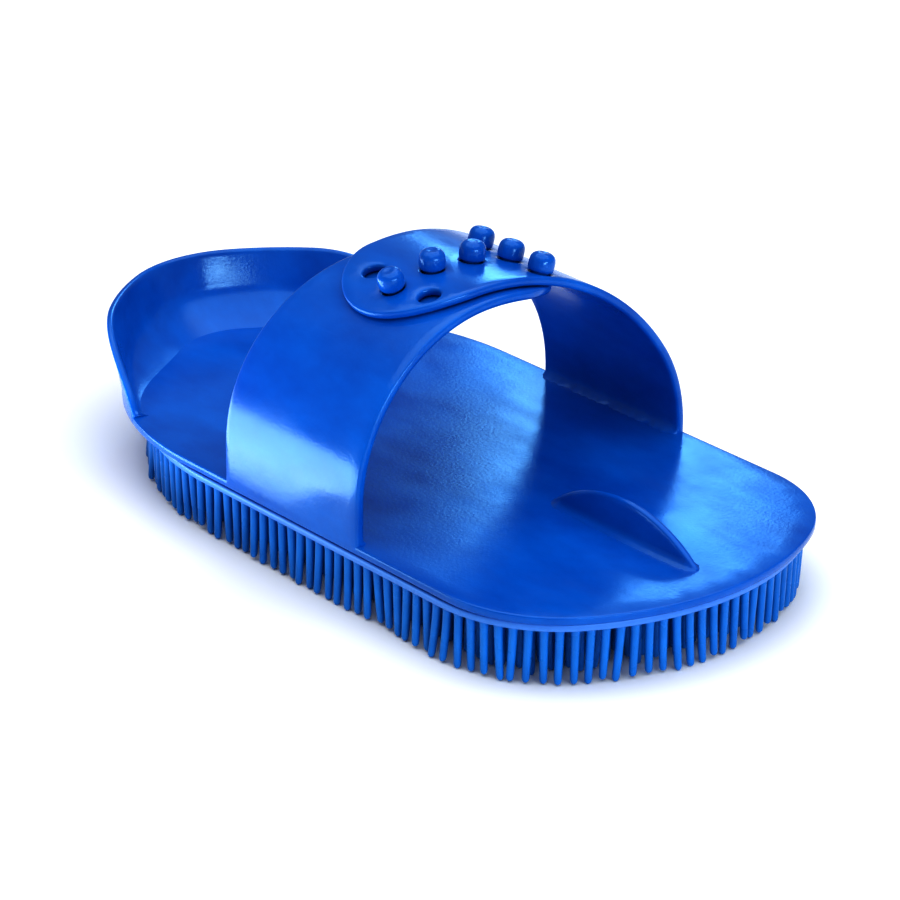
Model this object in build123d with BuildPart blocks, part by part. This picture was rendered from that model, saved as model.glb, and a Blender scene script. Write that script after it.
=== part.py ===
"""Curry comb: a soft-plastic hand comb with a buckled hand strap and a field of pins.

Frame: millimetres, +X towards the nose, +Y towards the wing with the holes, +Z up.
The origin is under the middle of the length, on the plane of the pin tips.
"""
from build123d import *
from math import asin, atan2, ceil, cos, degrees, pi, radians, sin, sqrt
import os

os.makedirs("parts", exist_ok=True)

# ---- driving sizes: stack of layers ---------------------------------------------------
pin_length = 13.0
flange_t = 1.7          # visible edge of the pin pad
land_t = 0.5            # raised land on the pad that the handle plate is welded to
plate_t = 1.8           # handle plate
plate_round = 0.5       # top edge of the plate
pad_top = pin_length + flange_t
plate_bottom = pad_top + land_t
plate_top = plate_bottom + plate_t

# ---- driving sizes: plan outlines, each with straight sides and arcs round its ends ----
half_width = 47.5
plate_nose = {"tip": 94.4, "corner_x": 59.6, "corner_r": 30.0}
plate_heel = {"tip": 90.9, "corner_x": 29.5, "corner_r": 66.0}
pad_nose = {"tip": 93.2, "corner_x": 57.1, "corner_r": 32.0}
pad_heel = {"tip": 84.0, "corner_x": 22.0, "corner_r": 66.0}
flange_inset = 0.2      # pad edge inside the pad outline
land_inset = 2.4        # depth of the groove between plate and pad

# ---- driving sizes: pins --------------------------------------------------------------
pin_root_r = 1.0
pin_tip_r = 0.8
pin_bevel = 0.4         # blunt tip
pin_pitch = 3.2         # along the rows
row_pitch = 3.9         # between the rows
rim_pin_inset = 2.1     # centres of the rim row inside the plate edge
field_gap = 3.3         # clear distance from the rim row to the first field pins

# ---- driving sizes: heel guard --------------------------------------------------------
guard_height = 15.5
guard_flare = 3.5       # how far the top edge leans out
guard_bend = 1.4        # above 1, the lean grows towards the top
guard_t = 1.9
guard_trim = 0.5        # height lost when the top edge is cut to its curve
guard_sweep_x = -76.9   # where the top edge reaches its full height
guard_start_x = -52.4   # where the top edge leaves the plate

# ---- driving sizes: finger fin --------------------------------------------------------
fin_start_x, fin_end_x = 39.6, 84.6
fin_height = 8.4
fin_root_t, fin_tip_t = 2.8, 1.4

# ---- driving sizes: strap arch, as the surface where the two wings meet ----------------
wing_gap = 0.3
stud_wing_t = 2.1
hole_wing_t = 2.0
crown_y, crown_h = -8.8, 46.6
crown_r = 58.0
near_r = 37.9
far_r = 34.9
root_gap = 0.1          # under the rounded foot of each wing
root_front_x, root_rear_x = 31.2, -13.8
stud_tongue = {"x": 12.2, "y": -2.0, "r": 19.0}
hole_tongue = {"x": 11.0, "y": -11.6, "r": 17.7}
root_overrun = 1.0      # plan of a wing past the plate edge, so that its root is whole

# ---- driving sizes: studs and holes ---------------------------------------------------
neck_r, hole_r = 2.0, 2.4
head_r, head_h = 2.9, 4.2
head_foot_r, head_rim_r = 2.5, 2.4
dome_h = 0.9
head_gap = 0.2          # between the tab and the underside of a head
stud_embed = 0.4        # neck sunk into the stud wing
row_x, row_skew = 14.0, 0.09
row_places = [-13.3, -3.4, 6.5, 16.4]
side_stud_place, side_stud_step = 16.4, 9.8
side_hole_place, side_hole_step = -11.2, 9.0
drill_length = 8.0      # longer than a wing is thick

# ---- driving sizes: hinge webs ---------------------------------------------------------
web_r = 2.6
web_margin = 1.0        # web shorter than the root at each end


# ---- plan outlines of the comb --------------------------------------------------------
class End:
    """One end of a plan outline: a corner arc, a tip arc and a corner arc, all tangent."""

    def __init__(self, tip, corner_x, corner_r):
        run, rise = tip - corner_x, half_width - corner_r
        self.corner_x, self.corner_y, self.corner_r = corner_x, rise, corner_r
        self.tip_r = (run * run + rise * rise - corner_r * corner_r) / (2 * (run - corner_r))
        self.tip_c = tip - self.tip_r
        self.turn = atan2(rise, corner_x - self.tip_c)
        if self.turn < 0:
            self.turn += pi

    def arcs(self, side, grow):
        """The three arcs, with side 1 for the nose and -1 for the heel."""
        turn = degrees(self.turn)
        start = 0 if side > 0 else 180
        corner, tip = self.corner_r + grow, self.tip_r + grow
        CenterArc((side * self.corner_x, -self.corner_y), corner, 270, side * (90 - turn))
        CenterArc((side * self.tip_c, 0), tip, start - side * turn, side * 2 * turn)
        CenterArc((side * self.corner_x, self.corner_y), corner, 90, side * (turn - 90))

    def half_width_at(self, along, grow):
        """Half width at a distance from the middle, or a negative value past the tip."""
        if along <= self.corner_x:
            return half_width + grow
        centre, radius, lift = self.corner_x, self.corner_r + grow, self.corner_y
        if along > self.tip_c + (self.tip_r + grow) * cos(self.turn):
            centre, radius, lift = self.tip_c, self.tip_r + grow, 0
        reach = radius * radius - (along - centre) ** 2
        return lift + sqrt(reach) if reach > 0 else -1.0


plate_ends = (End(**plate_nose), End(**plate_heel))
pad_ends = (End(**pad_nose), End(**pad_heel))


def comb_outline(ends, grow):
    """Closed outline through a nose end and a heel end, moved outwards by grow."""
    nose, heel = ends
    nose.arcs(1, grow)
    heel.arcs(-1, grow)
    for side in (-half_width - grow, half_width + grow):
        Line((-heel.corner_x, side), (nose.corner_x, side))


# ---- strap arch: leg, near shoulder, crown, far shoulder, leg --------------------------
near_y = -half_width - wing_gap / 2
far_y = half_width - hole_wing_t - wing_gap / 2
crown_c = (crown_y, plate_top + crown_h - crown_r)


def shoulder(leg_y, radius, side):
    """Centre of a shoulder arc that is tangent to its leg and to the crown arc."""
    centre_y = leg_y - side * radius
    rise = sqrt((crown_r - radius) ** 2 - (centre_y - crown_y) ** 2)
    return (centre_y, crown_c[1] + rise)


near_c = shoulder(near_y, near_r, -1)
far_c = shoulder(far_y, far_r, 1)
near_a = degrees(atan2(near_c[1] - crown_c[1], near_c[0] - crown_c[0]))
far_a = degrees(atan2(far_c[1] - crown_c[1], far_c[0] - crown_c[0]))
stud_hinge_z = plate_top + root_gap + stud_wing_t / 2
hole_hinge_z = plate_top + root_gap + hole_wing_t / 2


def arch_edges(off, foot_z):
    Line((near_y - off, foot_z), (near_y - off, near_c[1]))
    CenterArc(near_c, near_r + off, 180, near_a - 180)
    CenterArc(crown_c, crown_r + off, near_a, far_a - near_a)
    CenterArc(far_c, far_r + off, far_a, -far_a)
    Line((far_y + off, far_c[1]), (far_y + off, foot_z))


def arch_band(inner, outer, foot_z):
    """Closed section of a strip that follows the whole arch, with rounded feet."""
    arch_edges(outer, foot_z)
    arch_edges(inner, foot_z)
    middle = (inner + outer) / 2
    CenterArc((near_y - middle, foot_z), (outer - inner) / 2, 180, 180)
    CenterArc((far_y + middle, foot_z), (outer - inner) / 2, 180, 180)


def arch_plane(x, place, off):
    """Plane on the arch at an arc distance from the crown, its normal pointing out."""
    near_start = crown_r * radians(near_a - 90)
    if -place > near_start:
        angle = radians(near_a) + (-place - near_start) / near_r
        centre, radius = near_c, near_r + off
    else:
        angle = pi / 2 - place / crown_r
        centre, radius = crown_c, crown_r + off
    y = centre[0] + radius * cos(angle)
    z = centre[1] + radius * sin(angle)
    return Plane(origin=(x, y, z), x_dir=(1, 0, 0), z_dir=(0, cos(angle), sin(angle)))


def row_centre(place):
    return row_x + row_skew * place


stud_places = [(row_centre(place), place) for place in row_places]
stud_places += [
    (row_centre(side_stud_place) + side * side_stud_step, side_stud_place)
    for side in (-1, 1)
]
hole_places = stud_places + [
    (row_centre(side_hole_place) + side * side_hole_step, side_hole_place)
    for side in (-1, 1)
]


def wing_plan(side, tongue):
    """Plan of a wing: a strip that narrows from its root to a round tongue."""
    root_y = side * (half_width + root_overrun)
    front = (tongue["x"] + tongue["r"], tongue["y"])
    rear = (tongue["x"] - tongue["r"], tongue["y"])
    Polyline(front, (root_front_x, root_y), (root_rear_x, root_y), rear)
    ThreePointArc(rear, (tongue["x"], tongue["y"] - side * tongue["r"]), front)


# ---- handle plate ---------------------------------------------------------------------
with BuildPart() as handle_plate:
    with BuildSketch(Plane.XY.offset(plate_bottom)):
        with BuildLine():
            comb_outline(plate_ends, 0)
        make_face()
    extrude(amount=plate_t)
    fillet(handle_plate.faces().sort_by(Axis.Z)[-1].edges(), radius=plate_round)
handle_plate.part.label = "handle_plate"
export_step(handle_plate.part, "parts/handle_plate.step")


# ---- heel guard -----------------------------------------------------------------------
def guard_section(height, grow):
    """Outline of the guard at one height: it leans out more towards the top."""
    lean = guard_flare * (height / guard_height) ** guard_bend
    side = half_width + grow + lean
    with BuildSketch(Plane.XY.offset(plate_top + height)) as section:
        with BuildLine():
            plate_ends[1].arcs(-1, grow + lean)
            Line((-plate_heel["corner_x"], -side), (-plate_heel["corner_x"], side))
        make_face()
    return section.sketch


guard_levels = [guard_height * step / 4 for step in range(4)] + [guard_height + guard_trim]
sweep_run = guard_start_x - guard_sweep_x
sweep_r = (sweep_run ** 2 + guard_height ** 2) / (2 * guard_height)
sweep_mid = asin(sweep_run / sweep_r) / 2
guard_top = plate_top + guard_height
guard_end_x = -plate_heel["tip"] - 2 * guard_flare

with BuildPart() as heel_guard:
    loft([guard_section(level, 0) for level in guard_levels])
    loft(
        [guard_section(level, -guard_t) for level in guard_levels],
        mode=Mode.SUBTRACT,
    )
    with BuildSketch(Plane.XZ):
        with BuildLine():
            Polyline(
                (guard_start_x, plate_top),
                (guard_end_x, plate_top),
                (guard_end_x, guard_top),
                (guard_sweep_x, guard_top),
            )
            ThreePointArc(
                (guard_sweep_x, guard_top),
                (
                    guard_sweep_x + sweep_r * sin(sweep_mid),
                    guard_top - sweep_r * (1 - cos(sweep_mid)),
                ),
                (guard_start_x, plate_top),
            )
        make_face()
    extrude(amount=2 * half_width, both=True, mode=Mode.INTERSECT)
heel_guard.part.label = "heel_guard"
export_step(heel_guard.part, "parts/heel_guard.step")

# ---- finger fin -----------------------------------------------------------------------
fin_mid_x = (fin_start_x + fin_end_x) / 2
with BuildPart() as finger_fin:
    with BuildSketch(Plane.YZ.offset(fin_start_x)):
        with BuildLine():
            Polyline(
                (-fin_root_t / 2, plate_top),
                (fin_root_t / 2, plate_top),
                (fin_tip_t / 2, plate_top + fin_height),
                (-fin_tip_t / 2, plate_top + fin_height),
                close=True,
            )
        make_face()
    extrude(amount=fin_end_x - fin_start_x)
    with BuildSketch(Plane.XZ):
        with BuildLine():
            ThreePointArc(
                (fin_start_x, plate_top),
                (fin_mid_x, plate_top + fin_height),
                (fin_end_x, plate_top),
            )
            Line((fin_end_x, plate_top), (fin_start_x, plate_top))
        make_face()
    extrude(amount=fin_root_t, both=True, mode=Mode.INTERSECT)
finger_fin.part.label = "finger_fin"
export_step(finger_fin.part, "parts/finger_fin.step")

# ---- stud wing: the lower wing, rising from the -Y side --------------------------------
wing_reach = 60.0
with BuildPart() as stud_wing:
    with BuildSketch(Plane.YZ):
        with BuildLine():
            arch_band(-wing_gap / 2 - stud_wing_t, -wing_gap / 2, stud_hinge_z)
        make_face()
    extrude(amount=wing_reach, both=True)
    with BuildSketch(Plane.XY):
        with BuildLine():
            wing_plan(-1, stud_tongue)
        make_face()
    extrude(amount=2 * wing_reach, mode=Mode.INTERSECT)
stud_wing.part.label = "stud_wing"
export_step(stud_wing.part, "parts/stud_wing.step")

# ---- hole wing: the upper wing, rising from the +Y side --------------------------------
with BuildPart() as hole_wing:
    with BuildSketch(Plane.YZ):
        with BuildLine():
            arch_band(wing_gap / 2, wing_gap / 2 + hole_wing_t, hole_hinge_z)
        make_face()
    extrude(amount=wing_reach, both=True)
    with BuildSketch(Plane.XY):
        with BuildLine():
            wing_plan(1, hole_tongue)
        make_face()
    extrude(amount=2 * wing_reach, mode=Mode.INTERSECT)
    with Locations([arch_plane(x, place, 0) for x, place in hole_places]):
        Cylinder(hole_r, drill_length, mode=Mode.SUBTRACT)
hole_wing.part.label = "hole_wing"
export_step(hole_wing.part, "parts/hole_wing.step")

# ---- studs: a neck through the hole, a barrel head with a domed top --------------------
neck_foot = -wing_gap / 2 - stud_embed
head_foot = wing_gap / 2 + hole_wing_t + head_gap
head_top = head_foot + head_h
dome_r = (head_rim_r ** 2 + dome_h ** 2) / (2 * dome_h)
dome_a = degrees(asin(head_rim_r / dome_r))

with BuildPart(mode=Mode.PRIVATE) as stud:
    with BuildSketch(Plane.XZ):
        with BuildLine():
            Polyline(
                (0, head_top),
                (0, neck_foot),
                (neck_r, neck_foot),
                (neck_r, head_foot),
                (head_foot_r, head_foot),
            )
            ThreePointArc(
                (head_foot_r, head_foot),
                (head_r, head_foot + (head_h - dome_h) / 2),
                (head_rim_r, head_top - dome_h),
            )
            CenterArc((0, head_top - dome_r), dome_r, 90 - dome_a, dome_a)
        make_face()
    revolve(axis=Axis.Z)

with BuildPart() as strap_studs:
    with Locations([arch_plane(x, place, 0) for x, place in stud_places]):
        add(stud.part)
strap_studs.part.label = "strap_studs"
export_step(strap_studs.part, "parts/strap_studs.step")


# ---- hinge webs: the soft fillets inside the root of each wing -------------------------
def hinge_web(side, inner_y, label):
    """Concave fillet between the plate and the inner face of a wing."""
    run = side * web_r
    start = (inner_y - side * root_gap, plate_top)
    with BuildPart() as web:
        with BuildSketch(Plane.YZ.offset(root_rear_x + web_margin)):
            with BuildLine():
                Line(start, (start[0] - run, plate_top))
                Line(start, (start[0], plate_top + web_r))
                ThreePointArc(
                    (start[0] - run, plate_top),
                    (start[0] - run * (1 - sqrt(0.5)), plate_top + web_r * (1 - sqrt(0.5))),
                    (start[0], plate_top + web_r),
                )
            make_face()
        extrude(amount=root_front_x - root_rear_x - 2 * web_margin)
    web.part.label = label
    export_step(web.part, f"parts/{label}.step")


hinge_web(-1, -half_width + stud_wing_t, "stud_hinge_web")
hinge_web(1, far_y + wing_gap / 2, "hole_hinge_web")


# ---- pin pad: flange, land and pins, one moulding --------------------------------------
def rim_row():
    """Pin centres spaced evenly along the outline, inset from the edge."""
    with BuildLine(mode=Mode.PRIVATE) as rim:
        comb_outline(pad_ends, -rim_pin_inset)
    path = Wire(rim.edges())
    count = round(path.length / pin_pitch)
    return [path.position_at(i / count) for i in range(count)]


def field_rows():
    """Staggered rows of pin centres along X, kept inside the rim row."""
    grow = -rim_pin_inset - field_gap
    rows = ceil(half_width / row_pitch)
    columns = ceil(pad_nose["tip"] / pin_pitch)
    centres = []
    for row in range(-rows, rows + 1):
        y = row * row_pitch
        shift = pin_pitch / 2 if row % 2 else 0
        for column in range(-columns, columns + 1):
            x = column * pin_pitch + shift
            end = pad_ends[0] if x > 0 else pad_ends[1]
            if abs(y) < end.half_width_at(abs(x), grow):
                centres.append((x, y))
    return centres


with BuildPart(mode=Mode.PRIVATE) as pin:
    with BuildSketch(Plane.XZ):
        with BuildLine():
            Polyline(
                (0, 0),
                (0, pin_length),
                (pin_root_r, pin_length),
                (pin_tip_r, pin_bevel),
                (pin_tip_r - pin_bevel, 0),
                close=True,
            )
        make_face()
    revolve(axis=Axis.Z)

with BuildPart() as pin_pad:
    with BuildSketch(Plane.XY.offset(pin_length)):
        with BuildLine():
            comb_outline(pad_ends, -flange_inset)
        make_face()
    extrude(amount=flange_t)
    with BuildSketch(Plane.XY.offset(pad_top)):
        with BuildLine():
            comb_outline(pad_ends, -land_inset)
        make_face()
    extrude(amount=land_t)
    with Locations(rim_row() + field_rows()):
        add(pin.part)
pin_pad.part.label = "pin_pad"
export_step(pin_pad.part, "parts/pin_pad.step")
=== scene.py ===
"""Looks of the curry comb: soft blue plastic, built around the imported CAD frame."""

import random
from math import acos, asin, atan2, ceil, cos, hypot, pi, radians, sin, sqrt

import bmesh
import bpy
import numpy as np
from mathutils import Matrix, Vector
from mathutils.geometry import delaunay_2d_cdt


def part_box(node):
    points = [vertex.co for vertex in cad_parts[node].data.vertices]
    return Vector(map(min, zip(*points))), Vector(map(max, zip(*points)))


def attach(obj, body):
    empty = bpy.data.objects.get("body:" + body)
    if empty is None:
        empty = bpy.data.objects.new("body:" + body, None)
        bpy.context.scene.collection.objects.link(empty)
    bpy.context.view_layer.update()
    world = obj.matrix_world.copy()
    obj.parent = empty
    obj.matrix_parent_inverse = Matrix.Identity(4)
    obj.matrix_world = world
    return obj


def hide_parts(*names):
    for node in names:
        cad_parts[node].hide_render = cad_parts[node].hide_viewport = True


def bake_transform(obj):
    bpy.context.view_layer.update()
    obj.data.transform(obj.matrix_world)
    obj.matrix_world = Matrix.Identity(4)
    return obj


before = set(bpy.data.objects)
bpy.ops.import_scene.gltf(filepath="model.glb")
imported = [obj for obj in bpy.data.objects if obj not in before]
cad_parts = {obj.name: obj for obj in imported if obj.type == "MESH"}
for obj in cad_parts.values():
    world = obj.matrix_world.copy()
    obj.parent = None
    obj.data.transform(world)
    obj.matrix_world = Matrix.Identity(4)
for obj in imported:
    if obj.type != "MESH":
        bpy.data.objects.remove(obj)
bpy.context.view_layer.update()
MM = 0.001

# ---- sizes taken from the frame, in millimetres ----------------------------------------
plate_low, plate_high = [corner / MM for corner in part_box("handle_plate")]
guard_low, guard_high = [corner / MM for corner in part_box("heel_guard")]
fin_low, fin_high = [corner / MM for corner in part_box("finger_fin")]
stud_wing_low, stud_wing_high = [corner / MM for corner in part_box("stud_wing")]

plate_top = plate_high.z
plate_t = plate_high.z - plate_low.z
half_width = plate_high.y
guard_height = guard_high.z - guard_low.z
root_front_x, root_rear_x = stud_wing_high.x, stud_wing_low.x

# ---- design values shared with the CAD model, in millimetres ---------------------------
pin_length = 13.0
flange_t, land_t = 1.7, 0.5
flange_inset, land_inset = 0.2, 2.4
plate_nose = {"tip": 94.4, "corner_x": 59.6, "corner_r": 30.0}
plate_heel = {"tip": 90.9, "corner_x": 29.5, "corner_r": 66.0}
pad_nose = {"tip": 93.2, "corner_x": 57.1, "corner_r": 32.0}
pad_heel = {"tip": 84.0, "corner_x": 22.0, "corner_r": 66.0}
pin_pitch, row_pitch = 3.2, 3.9
rim_pin_inset, field_gap = 2.1, 3.3
guard_flare, guard_bend, guard_t = 3.5, 1.4, 1.9
guard_sweep_x, guard_start_x = -76.9, -52.4
wing_gap, stud_wing_t, hole_wing_t = 0.3, 2.1, 2.0
crown_y, crown_h = -8.8, 46.6
crown_r, near_r, far_r = 58.0, 37.9, 34.9
stud_tongue = {"x": 12.2, "y": -2.0, "r": 19.0}
hole_tongue = {"x": 11.0, "y": -11.6, "r": 17.7}
neck_r, hole_r = 2.0, 2.4
head_r, head_h, head_gap = 2.9, 4.2, 0.2
row_x, row_skew = 14.0, 0.09
row_places = [-13.3, -3.4, 6.5, 16.4]
side_stud_place, side_stud_step = 16.4, 9.8
side_hole_place, side_hole_step = -11.2, 9.0

# ---- visual detail: sizes and mesh steps in millimetres, powers shape the edges --------
sink = 1.5              # how far a moulded-on piece reaches into the plate
wall_offset = 0.02      # small shift that keeps visual walls off their neighbours' planes
wing_fillet = 1.1
guard_fillet = 7.5
fin_fillet = 1.1
fillet_run = 4.0        # the wing's foot fades out this close to its front and rear
guard_fillet_run = 40   # the guard's foot fades out this close to its ends
crest_least = 0.3       # height of the guard's crest where it meets the plate
guard_thinning = 0.25   # share of the thickness that the guard loses towards its top
fin_tip_t = 1.5
plate_edge, plate_power = 0.55, 0.45
guard_edge, fin_edge, wing_edge, wing_power = 0.5, 0.6, 0.7, 0.8
flange_edge, flange_power, land_edge = 0.6, 0.6, 0.1
edge_steps = 6
outline_step, flat_step, pad_step = 1.5, 4.0, 5.0
wing_step, guard_step, fin_step = 1.5, 1.0, 0.9


# ---- plan outlines -----------------------------------------------------------------------
def arc(centre, radius, start, sweep, step):
    """Points and outward normals along an arc, without its last point."""
    count = max(2, ceil(abs(radius * sweep) / step))
    out = []
    for i in range(count):
        a = start + sweep * i / count
        n = (cos(a), sin(a))
        out.append(((centre[0] + radius * n[0], centre[1] + radius * n[1]), n))
    return out


def straight(a, b, n, step):
    """Points and one normal along a line, without its last point."""
    count = max(1, ceil(hypot(b[0] - a[0], b[1] - a[1]) / step))
    return [
        ((a[0] + (b[0] - a[0]) * i / count, a[1] + (b[1] - a[1]) * i / count), n)
        for i in range(count)
    ]


class End:
    """One end of a plan outline: a corner arc, a tip arc and a corner arc, all tangent."""

    def __init__(self, tip, corner_x, corner_r):
        run, rise = tip - corner_x, half_width - corner_r
        self.corner_x, self.corner_y, self.corner_r = corner_x, rise, corner_r
        self.tip_r = (run * run + rise * rise - corner_r * corner_r) / (2 * (run - corner_r))
        self.tip_c = tip - self.tip_r
        self.turn = atan2(rise, corner_x - self.tip_c)
        if self.turn < 0:
            self.turn += pi

    def path(self, side, grow, step):
        """Anticlockwise points and normals, with side 1 for the nose and -1 for the heel."""
        facing = 0 if side > 0 else pi
        quarter = pi / 2 - self.turn
        corner, tip = self.corner_r + grow, self.tip_r + grow
        x, y = side * self.corner_x, side * self.corner_y
        points = arc((x, -y), corner, facing - pi / 2, quarter, step)
        points += arc((side * self.tip_c, 0), tip, facing - self.turn, 2 * self.turn, step)
        points += arc((x, y), corner, facing + self.turn, quarter, step)
        return points

    def half_width_at(self, along, grow):
        """Half width at a distance from the middle, or a negative value past the tip."""
        if along <= self.corner_x:
            return half_width + grow
        centre, radius, lift = self.corner_x, self.corner_r + grow, self.corner_y
        if along > self.tip_c + (self.tip_r + grow) * cos(self.turn):
            centre, radius, lift = self.tip_c, self.tip_r + grow, 0
        reach = radius * radius - (along - centre) ** 2
        return lift + sqrt(reach) if reach > 0 else -1.0


plate_ends = (End(**plate_nose), End(**plate_heel))
pad_ends = (End(**pad_nose), End(**pad_heel))


def comb_path(ends, grow, step):
    """A whole outline, anticlockwise, as points with outward normals."""
    nose, heel = ends
    side = half_width + grow
    path = straight((-heel.corner_x, -side), (nose.corner_x, -side), (0, -1), step)
    path += nose.path(1, grow, step)
    path += straight((nose.corner_x, side), (-heel.corner_x, side), (0, 1), step)
    path += heel.path(-1, grow, step)
    return path


# ---- strap arch --------------------------------------------------------------------------
near_y = -half_width - wing_gap / 2
far_y = half_width - hole_wing_t - wing_gap / 2
crown_z = plate_top + crown_h - crown_r


def shoulder(leg_y, radius, side):
    """Centre of a shoulder arc that is tangent to its leg and to the crown arc."""
    centre_y = leg_y - side * radius
    return (centre_y, crown_z + sqrt((crown_r - radius) ** 2 - (centre_y - crown_y) ** 2))


near_c, far_c = shoulder(near_y, near_r, -1), shoulder(far_y, far_r, 1)
near_a = atan2(near_c[1] - crown_z, near_c[0] - crown_y)
far_a = atan2(far_c[1] - crown_z, far_c[0] - crown_y)
near_start = -crown_r * (near_a - pi / 2)
near_end = near_start - near_r * (pi - near_a)
far_start = crown_r * (pi / 2 - far_a)
far_end = far_start + far_r * far_a


def arch(s):
    """Point (y, z) and normal on the arch at arc distance s from the crown."""
    if s < near_end:
        return (near_y, near_c[1] - (near_end - s)), (-1.0, 0.0)
    if s > far_end:
        return (far_y, far_c[1] - (s - far_end)), (1.0, 0.0)
    if s < near_start:
        centre, radius, a = near_c, near_r, near_a + (near_start - s) / near_r
    elif s > far_start:
        centre, radius, a = far_c, far_r, far_a - (s - far_start) / far_r
    else:
        centre, radius, a = (crown_y, crown_z), crown_r, pi / 2 - s / crown_r
    n = (cos(a), sin(a))
    return (centre[0] + radius * n[0], centre[1] + radius * n[1]), n


def place_of(y):
    """Arc distance from the crown of the arch point above y, away from the legs."""
    if y < near_c[0] + near_r * cos(near_a):
        return near_start - near_r * (acos((y - near_c[0]) / near_r) - near_a)
    return crown_r * asin((y - crown_y) / crown_r)


near_root = near_end - (near_c[1] - plate_top) - sink
far_root = far_end + (far_c[1] - plate_top) + sink


def row_centre(place):
    return row_x + row_skew * place


stud_places = [(row_centre(place), place) for place in row_places]
stud_places += [
    (row_centre(side_stud_place) + side * side_stud_step, side_stud_place)
    for side in (-1, 1)
]
hole_places = stud_places + [
    (row_centre(side_hole_place) + side * side_hole_step, side_hole_place)
    for side in (-1, 1)
]


# ---- mesh building -----------------------------------------------------------------------
def inside(points, loop):
    """Which points lie inside a closed loop."""
    points, loop = np.asarray(points), np.asarray(loop)
    result = np.zeros(len(points), bool)
    for a, b in zip(loop, np.roll(loop, -1, axis=0)):
        crosses = (a[1] > points[:, 1]) != (b[1] > points[:, 1])
        if not crosses.any():
            continue
        x = a[0] + (points[:, 1] - a[1]) * (b[0] - a[0]) / (b[1] - a[1])
        result ^= crosses & (points[:, 0] < x)
    return result


def distance(points, loop):
    """Distance of each point from a closed loop's vertices."""
    points, loop = np.asarray(points), np.asarray(loop)
    return np.sqrt(((points[:, None, :] - loop[None, :, :]) ** 2).sum(2)).min(1)


def sheet(outlines, place, edge, step, power=1.0):
    """A sheet of two skins and a rounded edge, over a flat region.

    outlines are closed paths of (point, normal out of the material), the outer one
    anticlockwise and first. place(u, v, w) gives the 3-D point, with w from -1 to 1
    through the thickness. edge is the reach of the edge, which is a full round when
    power is 1 and squarer when it is less."""
    loops = [[(p[0] - n[0] * edge, p[1] - n[1] * edge) for p, n in path] for path in outlines]
    outer = np.array(loops[0])
    low, high = outer.min(0), outer.max(0)
    us = np.arange(low[0], high[0], step)
    vs = np.arange(low[1], high[1], step * 0.87)
    grid = np.array([(u + (row % 2) * step / 2, v) for row, v in enumerate(vs) for u in us])
    keep = inside(grid, outer) & (distance(grid, outer) > 0.6 * step)
    for hole in loops[1:]:
        keep &= ~inside(grid, hole) & (distance(grid, hole) > 0.6 * step)
    flat = [p for loop in loops for p in loop]
    constraints = []
    first = 0
    for loop in loops:
        count = len(loop)
        constraints += [(first + i, first + (i + 1) % count) for i in range(count)]
        first += count
    flat += [tuple(p) for p in grid[keep]]
    found = delaunay_2d_cdt([Vector(p) for p in flat], constraints, [], 1, 1e-6)
    verts2, faces2, origin = found[0], found[2], found[3]
    centres = [sum((Vector(verts2[i]) for i in f), Vector((0, 0))) / len(f) for f in faces2]
    good = inside(centres, outer)
    for hole in loops[1:]:
        good &= ~inside(centres, hole)
    faces2 = [f for f, ok in zip(faces2, good) if ok]
    index = {}
    for new, olds in enumerate(origin):
        for old in olds:
            index[old] = new

    verts = [place(v[0], v[1], 1) for v in verts2]
    count = len(verts)
    verts += [place(v[0], v[1], -1) for v in verts2]
    faces = [tuple(f) for f in faces2] + [tuple(i + count for i in reversed(f)) for f in faces2]
    first = 0
    for path, loop in zip(outlines, loops):
        size = len(loop)
        rings = [[index[first + i] for i in range(size)]]
        for k in range(1, edge_steps):
            a = pi * k / edge_steps
            out = edge * sin(a) ** power
            level = cos(a) if k * 2 != edge_steps else 0.0
            level = abs(level) ** power * (1 if level > 0 else -1)
            start = len(verts)
            for (p, n), q in zip(path, loop):
                verts.append(place(q[0] + n[0] * out, q[1] + n[1] * out, level))
            rings.append([start + i for i in range(size)])
        rings.append([index[first + i] + count for i in range(size)])
        for upper, lower in zip(rings, rings[1:]):
            for i in range(size):
                j = (i + 1) % size
                faces.append((upper[i], lower[i], lower[j], upper[j]))
        first += size
    used = sorted({i for f in faces for i in f})
    renumber = {old: new for new, old in enumerate(used)}
    return [verts[i] for i in used], [tuple(renumber[i] for i in f) for f in faces]


def joined(*parts):
    """Several (verts, faces) pairs as one."""
    verts, faces = [], []
    for part_verts, part_faces in parts:
        first = len(verts)
        verts += part_verts
        faces += [tuple(i + first for i in f) for f in part_faces]
    return verts, faces


def piece(name, mesh, material):
    """A smooth-shaded object from (verts, faces) in millimetres."""
    verts, faces = mesh
    data = bpy.data.meshes.new(name)
    data.from_pydata([Vector(v) * MM for v in verts], [], faces)
    data.validate()
    data.update()
    data.shade_smooth()
    data.materials.append(material)
    obj = bpy.data.objects.new(name, data)
    bpy.context.scene.collection.objects.link(obj)
    fix_winding(obj)
    return obj


def fix_winding(obj):
    """Turns every face outwards."""
    bm = bmesh.new()
    bm.from_mesh(obj.data)
    bmesh.ops.recalc_face_normals(bm, faces=bm.faces)
    bm.to_mesh(obj.data)
    bm.free()


def fillet_reach(height, radius):
    """How far a soft concave foot stands out at a height above the plate."""
    return max(radius - height, 0) ** 2 / radius


def faded(share, least):
    """Smooth step from a least value at 0 to 1 at 1."""
    share = min(max(share, 0), 1)
    return least + (1 - least) * share * share * (3 - 2 * share)


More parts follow.
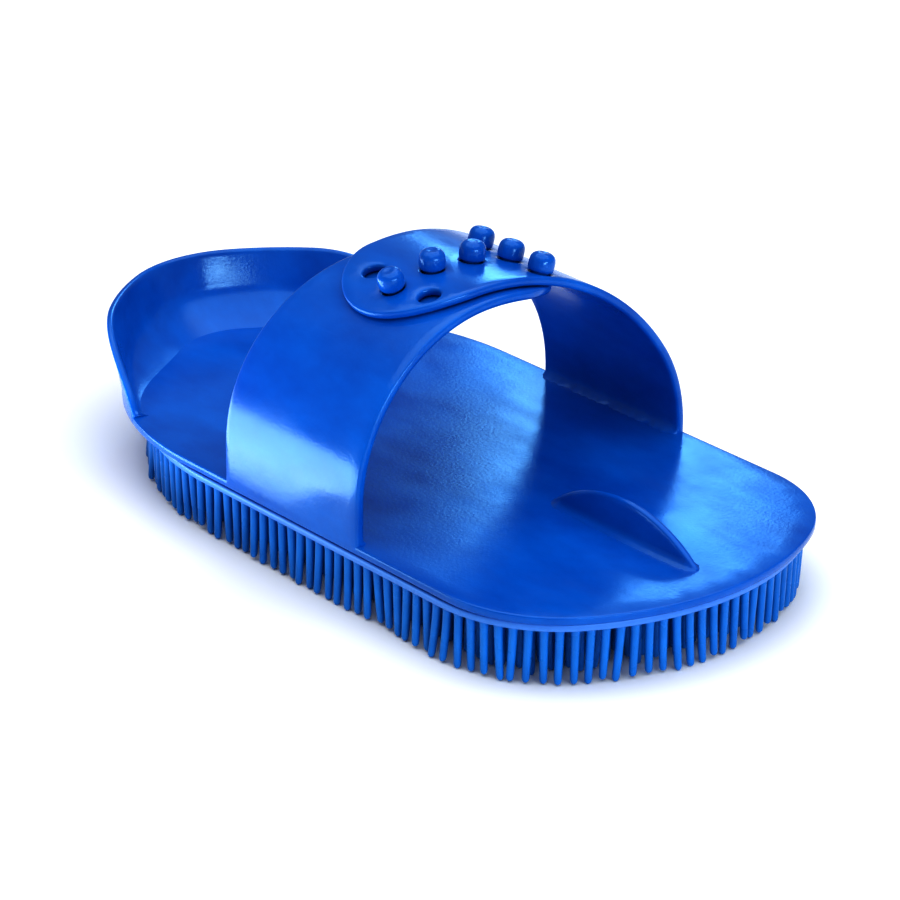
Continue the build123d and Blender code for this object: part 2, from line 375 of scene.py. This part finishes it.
# ---- materials ---------------------------------------------------------------------------
def plastic(name, dark, light, rough_low, rough_high, grain):
    """Moulded soft plastic: clouded colour, uneven gloss, faint flow lines and grain."""
    material = bpy.data.materials.new(name)
    material.use_nodes = True
    tree = material.node_tree
    shader = tree.nodes["Principled BSDF"]
    shader.inputs["Specular IOR Level"].default_value = 0.5
    shader.inputs["Specular Tint"].default_value = (0.5, 0.85, 1.0, 1.0)
    shader.inputs["IOR"].default_value = 1.5
    shader.inputs["Subsurface Weight"].default_value = 0.0
    shader.inputs["Coat Weight"].default_value = 0.0
    coords = tree.nodes.new("ShaderNodeTexCoord")
    stretch = tree.nodes.new("ShaderNodeMapping")
    stretch.inputs["Scale"].default_value = (0.55, 1.0, 1.0)
    tree.links.new(coords.outputs["Object"], stretch.inputs["Vector"])
    cloud = tree.nodes.new("ShaderNodeTexNoise")
    cloud.inputs["Scale"].default_value = 55.0
    cloud.inputs["Detail"].default_value = 5.0
    cloud.inputs["Roughness"].default_value = 0.6
    tree.links.new(stretch.outputs["Vector"], cloud.inputs["Vector"])
    tint = tree.nodes.new("ShaderNodeValToRGB")
    tint.color_ramp.elements[0].position = 0.32
    tint.color_ramp.elements[0].color = (*dark, 1)
    tint.color_ramp.elements[1].position = 0.72
    tint.color_ramp.elements[1].color = (*light, 1)
    tree.links.new(cloud.outputs["Fac"], tint.inputs["Fac"])
    tree.links.new(tint.outputs["Color"], shader.inputs["Base Color"])
    smear = tree.nodes.new("ShaderNodeTexNoise")
    smear.inputs["Scale"].default_value = 120.0
    smear.inputs["Detail"].default_value = 4.0
    tree.links.new(stretch.outputs["Vector"], smear.inputs["Vector"])
    gloss = tree.nodes.new("ShaderNodeMapRange")
    gloss.inputs["From Min"].default_value = 0.3
    gloss.inputs["From Max"].default_value = 0.7
    gloss.inputs["To Min"].default_value = rough_low
    gloss.inputs["To Max"].default_value = rough_high
    tree.links.new(smear.outputs["Fac"], gloss.inputs["Value"])
    tree.links.new(gloss.outputs["Result"], shader.inputs["Roughness"])
    wave = tree.nodes.new("ShaderNodeTexNoise")
    wave.inputs["Scale"].default_value = 34.0
    wave.inputs["Detail"].default_value = 1.5
    tree.links.new(coords.outputs["Object"], wave.inputs["Vector"])
    swell = tree.nodes.new("ShaderNodeBump")
    swell.inputs["Strength"].default_value = 0.3
    swell.inputs["Distance"].default_value = 0.0006
    tree.links.new(wave.outputs["Fac"], swell.inputs["Height"])
    pores = tree.nodes.new("ShaderNodeTexNoise")
    pores.inputs["Scale"].default_value = 1400.0
    pores.inputs["Detail"].default_value = 2.0
    tree.links.new(coords.outputs["Object"], pores.inputs["Vector"])
    skin = tree.nodes.new("ShaderNodeBump")
    skin.inputs["Strength"].default_value = grain
    skin.inputs["Distance"].default_value = 0.0001
    tree.links.new(pores.outputs["Fac"], skin.inputs["Height"])
    tree.links.new(swell.outputs["Normal"], skin.inputs["Normal"])
    tree.links.new(skin.outputs["Normal"], shader.inputs["Normal"])
    return material


handle_plastic = plastic(
    "blue_handle_plastic", (0.0, 0.088, 0.42), (0.0, 0.15, 0.58), 0.15, 0.27, 0.25
)
pin_plastic = plastic(
    "blue_pin_plastic", (0.0, 0.14, 0.5), (0.01, 0.23, 0.7), 0.22, 0.36, 0.15
)
# Paler than the handle plastic: a painted highlight that stands in for the light caught along the
# pad flange's rounded rim.
pad_plastic_painted_rim_highlight = plastic(
    "blue_pad_painted_rim_highlight", (0.06, 0.22, 0.64), (0.1, 0.3, 0.78), 0.25, 0.4, 0.15
)


# ---- handle plate ------------------------------------------------------------------------
def handle_plate_shell():
    middle = plate_top - plate_t / 2

    def place(u, v, w):
        return (u, v, middle + w * plate_t / 2)

    outline = comb_path(plate_ends, 0, outline_step)
    return sheet([outline], place, plate_edge, flat_step, plate_power)


plate = piece("handle_plate_shell", handle_plate_shell(), handle_plastic)
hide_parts("handle_plate")
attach(plate, "root")


# ---- heel guard --------------------------------------------------------------------------
def guard_shell():
    """Wall round the heel: leans out, wide fillet at its foot, round top edge."""
    path = plate_ends[1].path(-1, 0, 0.5)
    along = [0.0]
    for (a, _), (b, _) in zip(path, path[1:]):
        along.append(along[-1] + hypot(b[0] - a[0], b[1] - a[1]))
    points = np.array([p for p, _ in path])
    normals = np.array([n for _, n in path])
    run = guard_start_x - guard_sweep_x
    radius = (run ** 2 + guard_height ** 2) / (2 * guard_height)

    def at(u):
        p = [np.interp(u, along, points[:, i]) for i in (0, 1)]
        n = [np.interp(u, along, normals[:, i]) for i in (0, 1)]
        size = hypot(*n)
        return p, (n[0] / size, n[1] / size)

    def top(u):
        x = at(u)[0][0]
        if x <= guard_sweep_x:
            return guard_height
        return guard_height - radius + sqrt(max(radius ** 2 - (x - guard_sweep_x) ** 2, 0))

    def place(u, h, w):
        p, n = at(u)
        rise = max(h, 0.0)
        lean = guard_flare * (rise / guard_height) ** guard_bend
        thick = guard_t * (1 - guard_thinning * rise / guard_height)
        out = lean + wall_offset - thick * (1 - w) / 2
        if w < 0:
            fade = faded(min(u - first, last - u) / guard_fillet_run, 0.1)
            out += w * fillet_reach(h, guard_fillet * fade)
        return (p[0] + n[0] * out, p[1] + n[1] * out, plate_top + h)

    inner = [u for u, p in zip(along, points) if p[0] < guard_start_x]
    first, last = inner[0], inner[-1]
    count = ceil((last - first) / guard_step)
    upper = [first + (last - first) * i / count for i in range(count + 1)]
    crest = [(u, max(top(u), crest_least)) for u in upper]
    loop = [(u, -sink) for u in upper] + list(reversed(crest))
    area = sum(a[0] * b[1] - b[0] * a[1] for a, b in zip(loop, loop[1:] + loop[:1]))
    if area < 0:
        loop.reverse()
    return sheet([with_normals(loop)], place, guard_edge, guard_step)


def with_normals(loop):
    """A closed anticlockwise loop of points, each with its outward normal."""
    result = []
    for before, point, after in zip(loop[-1:] + loop[:-1], loop, loop[1:] + loop[:1]):
        dx, dy = after[0] - before[0], after[1] - before[1]
        size = hypot(dx, dy) or 1.0
        result.append((point, (dy / size, -dx / size)))
    return result


guard = piece("heel_guard_wall", guard_shell(), handle_plastic)
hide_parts("heel_guard")
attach(guard, "root")


# ---- finger fin --------------------------------------------------------------------------
def fin_blade():
    """Crescent rib with draft, a round crest and fillets along its foot."""
    start, end, height = fin_low.x, fin_high.x, fin_high.z - plate_top
    root_t = fin_high.y - fin_low.y
    half = (end - start) / 2
    radius = (half * half + height * height) / (2 * height)
    middle = (start + end) / 2

    def place(u, h, w):
        rise = min(max(h / height, 0), 1)
        ends = 1 - ((u - middle) / half) ** 2
        thick = (root_t + (fin_tip_t - root_t) * rise) * max(ends, 0) ** 0.3
        foot = fillet_reach(h, min(fin_fillet, height * max(ends, 0) * 0.6 + 0.05))
        return (u, w * (thick / 2 + foot), plate_top + h)

    count = 60
    sweep = asin(half / radius)
    angles = [sweep - 2 * sweep * i / count for i in range(count + 1)]
    crest = [
        (middle + radius * sin(a), max(height - radius * (1 - cos(a)), 0.0)) for a in angles
    ]
    floor_line = [(start + (end - start) * i / count, -sink) for i in range(count + 1)]
    return sheet([with_normals(floor_line + crest)], place, fin_edge, fin_step)


fin = piece("finger_fin_blade", fin_blade(), handle_plastic)
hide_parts("finger_fin")
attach(fin, "root")


# ---- strap wings -------------------------------------------------------------------------
def wing_outline(root_s, tongue, step):
    """Closed outline (arc distance, x) of a wing, with its round tongue."""
    side = 1 if root_s > 0 else -1
    root_y = side * half_width
    radius, mid_x, tongue_y = tongue["r"], tongue["x"], tongue["y"]

    def edge(root_x, tongue_x, s):
        share = (root_y - arch(s)[0][0]) / (root_y - tongue_y)
        return root_x + (tongue_x - root_x) * min(max(share, 0), 1)

    start_s = place_of(tongue_y)
    count = ceil(abs(root_s - start_s) / step)
    line = [root_s + (start_s - root_s) * i / count for i in range(count + 1)]
    front = [(s, edge(root_front_x, mid_x + radius, s)) for s in line]
    back = [(s, edge(root_rear_x, mid_x - radius, s)) for s in line]
    turns = ceil(pi * radius / step)
    round_end = []
    for i in range(1, turns):
        a = pi * i / turns
        y = tongue_y - side * radius * sin(a)
        round_end.append((place_of(y), mid_x + radius * cos(a)))
    ends = ceil((root_front_x - root_rear_x) / step)
    span = (root_front_x - root_rear_x) / ends
    root = [(root_s, root_rear_x + span * i) for i in range(1, ends)]
    loop = root + front + round_end + list(reversed(back))
    area = sum(a[0] * b[1] - b[0] * a[1] for a, b in zip(loop, loop[1:] + loop[:1]))
    return loop if area > 0 else list(reversed(loop))


def wing_place(off, thick):
    """Mapping of a wing sheet onto the arch, with a fillet inside its root."""
    def place(s, x, w):
        (y, z), n = arch(s)
        out = off + w * thick / 2
        if w < 0:
            fade = faded(min(x - root_rear_x, root_front_x - x) / fillet_run, 0.2)
            out += w * fillet_reach(z - plate_top, wing_fillet * fade)
        return (x, y + n[0] * out, z + n[1] * out)

    return place


def round_hole(s, x, radius):
    """Hole edge as points with normals out of the material, towards the hole's middle."""
    count = 28
    path = []
    for i in range(count):
        a = -2 * pi * i / count
        path.append(((s + radius * cos(a), x + radius * sin(a)), (-cos(a), -sin(a))))
    return path


def stud_wing_strap():
    loop = wing_outline(near_root, stud_tongue, 1.2)
    place = wing_place(wall_offset - wing_gap / 2 - stud_wing_t / 2, stud_wing_t)
    return sheet([with_normals(loop)], place, wing_edge, wing_step, wing_power)


def hole_wing_strap():
    loop = wing_outline(far_root, hole_tongue, 1.2)
    place = wing_place(wall_offset + wing_gap / 2 + hole_wing_t / 2, hole_wing_t)
    holes = [round_hole(s, x, hole_r) for x, s in hole_places]
    return sheet([with_normals(loop)] + holes, place, wing_edge, wing_step, wing_power)


stud_strap = piece("stud_wing_strap", stud_wing_strap(), handle_plastic)
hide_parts("stud_wing", "stud_hinge_web")
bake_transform(stud_strap)

hole_strap = piece("hole_wing_strap", hole_wing_strap(), handle_plastic)
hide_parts("hole_wing", "hole_hinge_web")
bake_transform(hole_strap)


# ---- studs -------------------------------------------------------------------------------
def lathe(profile, segments, place):
    """A turned shape: profile is (radius, height) from one pole to the other."""
    verts, faces, rings = [], [], []
    for radius, height in profile:
        start = len(verts)
        if radius == 0:
            verts.append(place(0, 0, height))
            rings.append([start])
            continue
        for i in range(segments):
            a = 2 * pi * i / segments
            verts.append(place(radius * cos(a), radius * sin(a), height))
        rings.append([start + i for i in range(segments)])
    for lower, upper in zip(rings, rings[1:]):
        for i in range(segments):
            j = (i + 1) % segments
            if len(lower) == 1:
                faces.append((lower[0], upper[j], upper[i]))
            elif len(upper) == 1:
                faces.append((lower[i], lower[j], upper[0]))
            else:
                faces.append((lower[i], lower[j], upper[j], upper[i]))
    return verts, faces


def stud_profile():
    """Neck, barrel head with a soft shoulder, and a shallow dish in its top."""
    foot = -wing_gap / 2 - 0.3
    head = wing_gap / 2 + hole_wing_t + head_gap
    top = head + head_h
    return [
        (0, foot), (neck_r, foot), (neck_r, head - 0.1), (neck_r + 0.15, head),
        (head_r - 0.35, head), (head_r - 0.1, head + 0.25), (head_r, head + 0.9),
        (head_r, head + 1.7), (head_r - 0.05, head + 2.5), (head_r - 0.2, head + 3.1),
        (head_r - 0.5, head + 3.6), (head_r - 0.95, top - 0.25), (head_r - 1.4, top - 0.05),
        (head_r - 1.8, top - 0.05), (head_r - 2.2, top - 0.12), (0, top - 0.2),
    ]


def strap_stud_heads():
    studs = []
    for x, s in stud_places:
        (y, z), n = arch(s)

        def place(a, b, h, x=x, y=y, z=z, n=n):
            return (x + a, y + b * n[1] + h * n[0], z - b * n[0] + h * n[1])

        studs.append(lathe(stud_profile(), 36, place))
    return joined(*studs)


studs = piece("strap_stud_heads", strap_stud_heads(), handle_plastic)
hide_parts("strap_studs")
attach(studs, "stud_side")


# ---- pin pad -----------------------------------------------------------------------------
def pad_body():
    """Pad flange with a round edge, and the land in the groove under the plate."""
    flange_z = pin_length + flange_t / 2
    land_z = pin_length + flange_t + land_t / 2

    def flange(u, v, w):
        return (u, v, flange_z + w * flange_t / 2)

    def land(u, v, w):
        return (u, v, land_z + w * land_t / 2)

    flange_path = comb_path(pad_ends, -flange_inset, outline_step)
    land_path = comb_path(pad_ends, -land_inset, outline_step)
    return joined(
        sheet([flange_path], flange, flange_edge, pad_step, flange_power),
        sheet([land_path], land, land_edge, pad_step),
    )


def pin_centres():
    """Rim row along the outline, then staggered rows inside it."""
    rim = [p for p, _ in comb_path(pad_ends, -rim_pin_inset, 0.25)]
    loop = rim + rim[:1]
    lengths = [hypot(b[0] - a[0], b[1] - a[1]) for a, b in zip(loop, loop[1:])]
    total = sum(lengths)
    count = round(total / pin_pitch)
    travelled = np.concatenate([[0], np.cumsum(lengths)])
    wanted = [total * i / count for i in range(count)]
    xs = np.interp(wanted, travelled, [p[0] for p in loop])
    ys = np.interp(wanted, travelled, [p[1] for p in loop])
    centres = list(zip(xs, ys))
    grow = -rim_pin_inset - field_gap
    rows, columns = ceil(half_width / row_pitch), ceil(pad_nose["tip"] / pin_pitch)
    for row in range(-rows, rows + 1):
        y = row * row_pitch
        shift = pin_pitch / 2 if row % 2 else 0
        for column in range(-columns, columns + 1):
            x = column * pin_pitch + shift
            end = pad_ends[0] if x > 0 else pad_ends[1]
            if abs(y) < end.half_width_at(abs(x), grow):
                centres.append((x, y))
    return centres


def pin_field():
    """Every pin with a root fillet, a domed tip, a slight bend and its own length."""
    rng = random.Random(7)
    lean_limit, shortest = 1.2, 1.2
    wave, scatter = 0.35, 0.35
    profile = [
        (0, pin_length + 0.3), (1.5, pin_length + 0.3), (1.35, pin_length), (1.12, pin_length - 0.4),
        (1.0, pin_length - 1.1), (0.95, 9.0), (0.9, 4.5), (0.84, 1.1), (0.72, 0.45),
        (0.45, 0.1), (0, 0),
    ]
    pins = []
    for cx, cy in pin_centres():
        dx = wave * sin(cx / 6 + cy / 9) + rng.gauss(0, scatter)
        dy = wave * sin(cx / 8 - cy / 5 + 1) + rng.gauss(0, scatter)
        excess = max(1.0, hypot(dx, dy) / lean_limit)
        dx, dy = dx / excess, dy / excess
        short = min(abs(rng.gauss(0, 0.4)), shortest)

        def place(a, b, h, cx=cx, cy=cy, dx=dx, dy=dy, short=short):
            share = max(0.0, 1 - h / pin_length)
            bend = share ** 1.5
            return (cx + a + dx * bend, cy + b + dy * bend, h + short * share)

        pins.append(lathe(profile, 12, place))
    return joined(*pins)


# The pad body gets the paler material, a painted highlight for the light on its rim.
pad = piece("pin_pad_body", pad_body(), pad_plastic_painted_rim_highlight)
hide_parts("pin_pad")
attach(pad, "root")

pins = piece("pin_field", pin_field(), pin_plastic)
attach(pins, "root")


# ---- floor, light and camera ---------------------------------------------------------------
def matte(name, colour, rough):
    material = bpy.data.materials.new(name)
    material.use_nodes = True
    shader = material.node_tree.nodes["Principled BSDF"]
    shader.inputs["Base Color"].default_value = (*colour, 1)
    shader.inputs["Roughness"].default_value = rough
    shader.inputs["Specular IOR Level"].default_value = 0.1
    return material


floor_data = bpy.data.meshes.new("floor")
reach = 6.0
corners = [(-reach, -reach, 0), (reach, -reach, 0), (reach, reach, 0), (-reach, reach, 0)]
floor_data.from_pydata(corners, [], [(0, 1, 2, 3)])
floor_data.materials.append(matte("pale_floor", (0.93, 0.93, 0.94), 0.9))
floor = bpy.data.objects.new("floor", floor_data)
bpy.context.scene.collection.objects.link(floor)

world = bpy.data.worlds.new("studio")
bpy.context.scene.world = world
world.use_nodes = True
world.node_tree.nodes["Background"].inputs["Color"].default_value = (1.0, 1.0, 1.0, 1)
world.node_tree.nodes["Background"].inputs["Strength"].default_value = 0.24


def softbox(name, position, target, size, power, colour):
    data = bpy.data.lights.new(name, "AREA")
    data.color = colour
    data.shape = "RECTANGLE"
    data.size, data.size_y = size
    data.energy = power
    light = bpy.data.objects.new(name, data)
    light.location = position
    direction = Vector(target) - Vector(position)
    light.rotation_mode = "QUATERNION"
    light.rotation_quaternion = direction.to_track_quat("-Z", "Y")
    bpy.context.scene.collection.objects.link(light)


# One wide overhead panel lights the floor. The back panel is mirrored by the plate and
# the tab, the low side panel by the lower wing, and the front strip by the guard.
white, pale, cool = (1.0, 1.0, 1.0), (0.8, 0.94, 1.0), (0.27, 0.66, 1.0)
softbox("overhead", (0, 0, 1.4), (0, 0, 0), (2.4, 2.4), 29.0, white)
softbox("back_panel", (-0.335, 0.385, 0.24), (0, 0, 0.03), (0.11, 0.13), 0.27, cool)
softbox("side_panel", (-0.15, -0.2, 0.003), (-0.15, -0.2, 1.0), (0.26, 0.26), 1.5, pale)
softbox("front_strip", (0.68, -0.1, 0.178), (-0.06, 0, 0.03), (0.42, 0.08), 1.9, pale)

camera_data = bpy.data.cameras.new("camera")
camera_data.sensor_width = 36.0
camera_data.lens = 155.32
camera = bpy.data.objects.new("camera", camera_data)
azimuth, elevation, roll = radians(48.85), radians(24.06), radians(0.76)
aim = Vector((5.85, 0.13, plate_top + 0.18)) * MM
camera_distance = 857.4 * MM
back = Vector((
    sin(azimuth) * cos(elevation),
    -cos(azimuth) * cos(elevation),
    sin(elevation),
))
camera.location = aim + back * camera_distance
camera.rotation_mode = "QUATERNION"
look = (-back).to_track_quat("-Z", "Y")
camera.rotation_quaternion = look @ Matrix.Rotation(roll, 3, "Z").to_quaternion()
bpy.context.scene.collection.objects.link(camera)
bpy.context.scene.camera = camera
bpy.context.scene.view_settings.view_transform = "Standard"
bpy.context.scene.view_settings.exposure = 0.35
bpy.context.scene.view_settings.gamma = 0.66
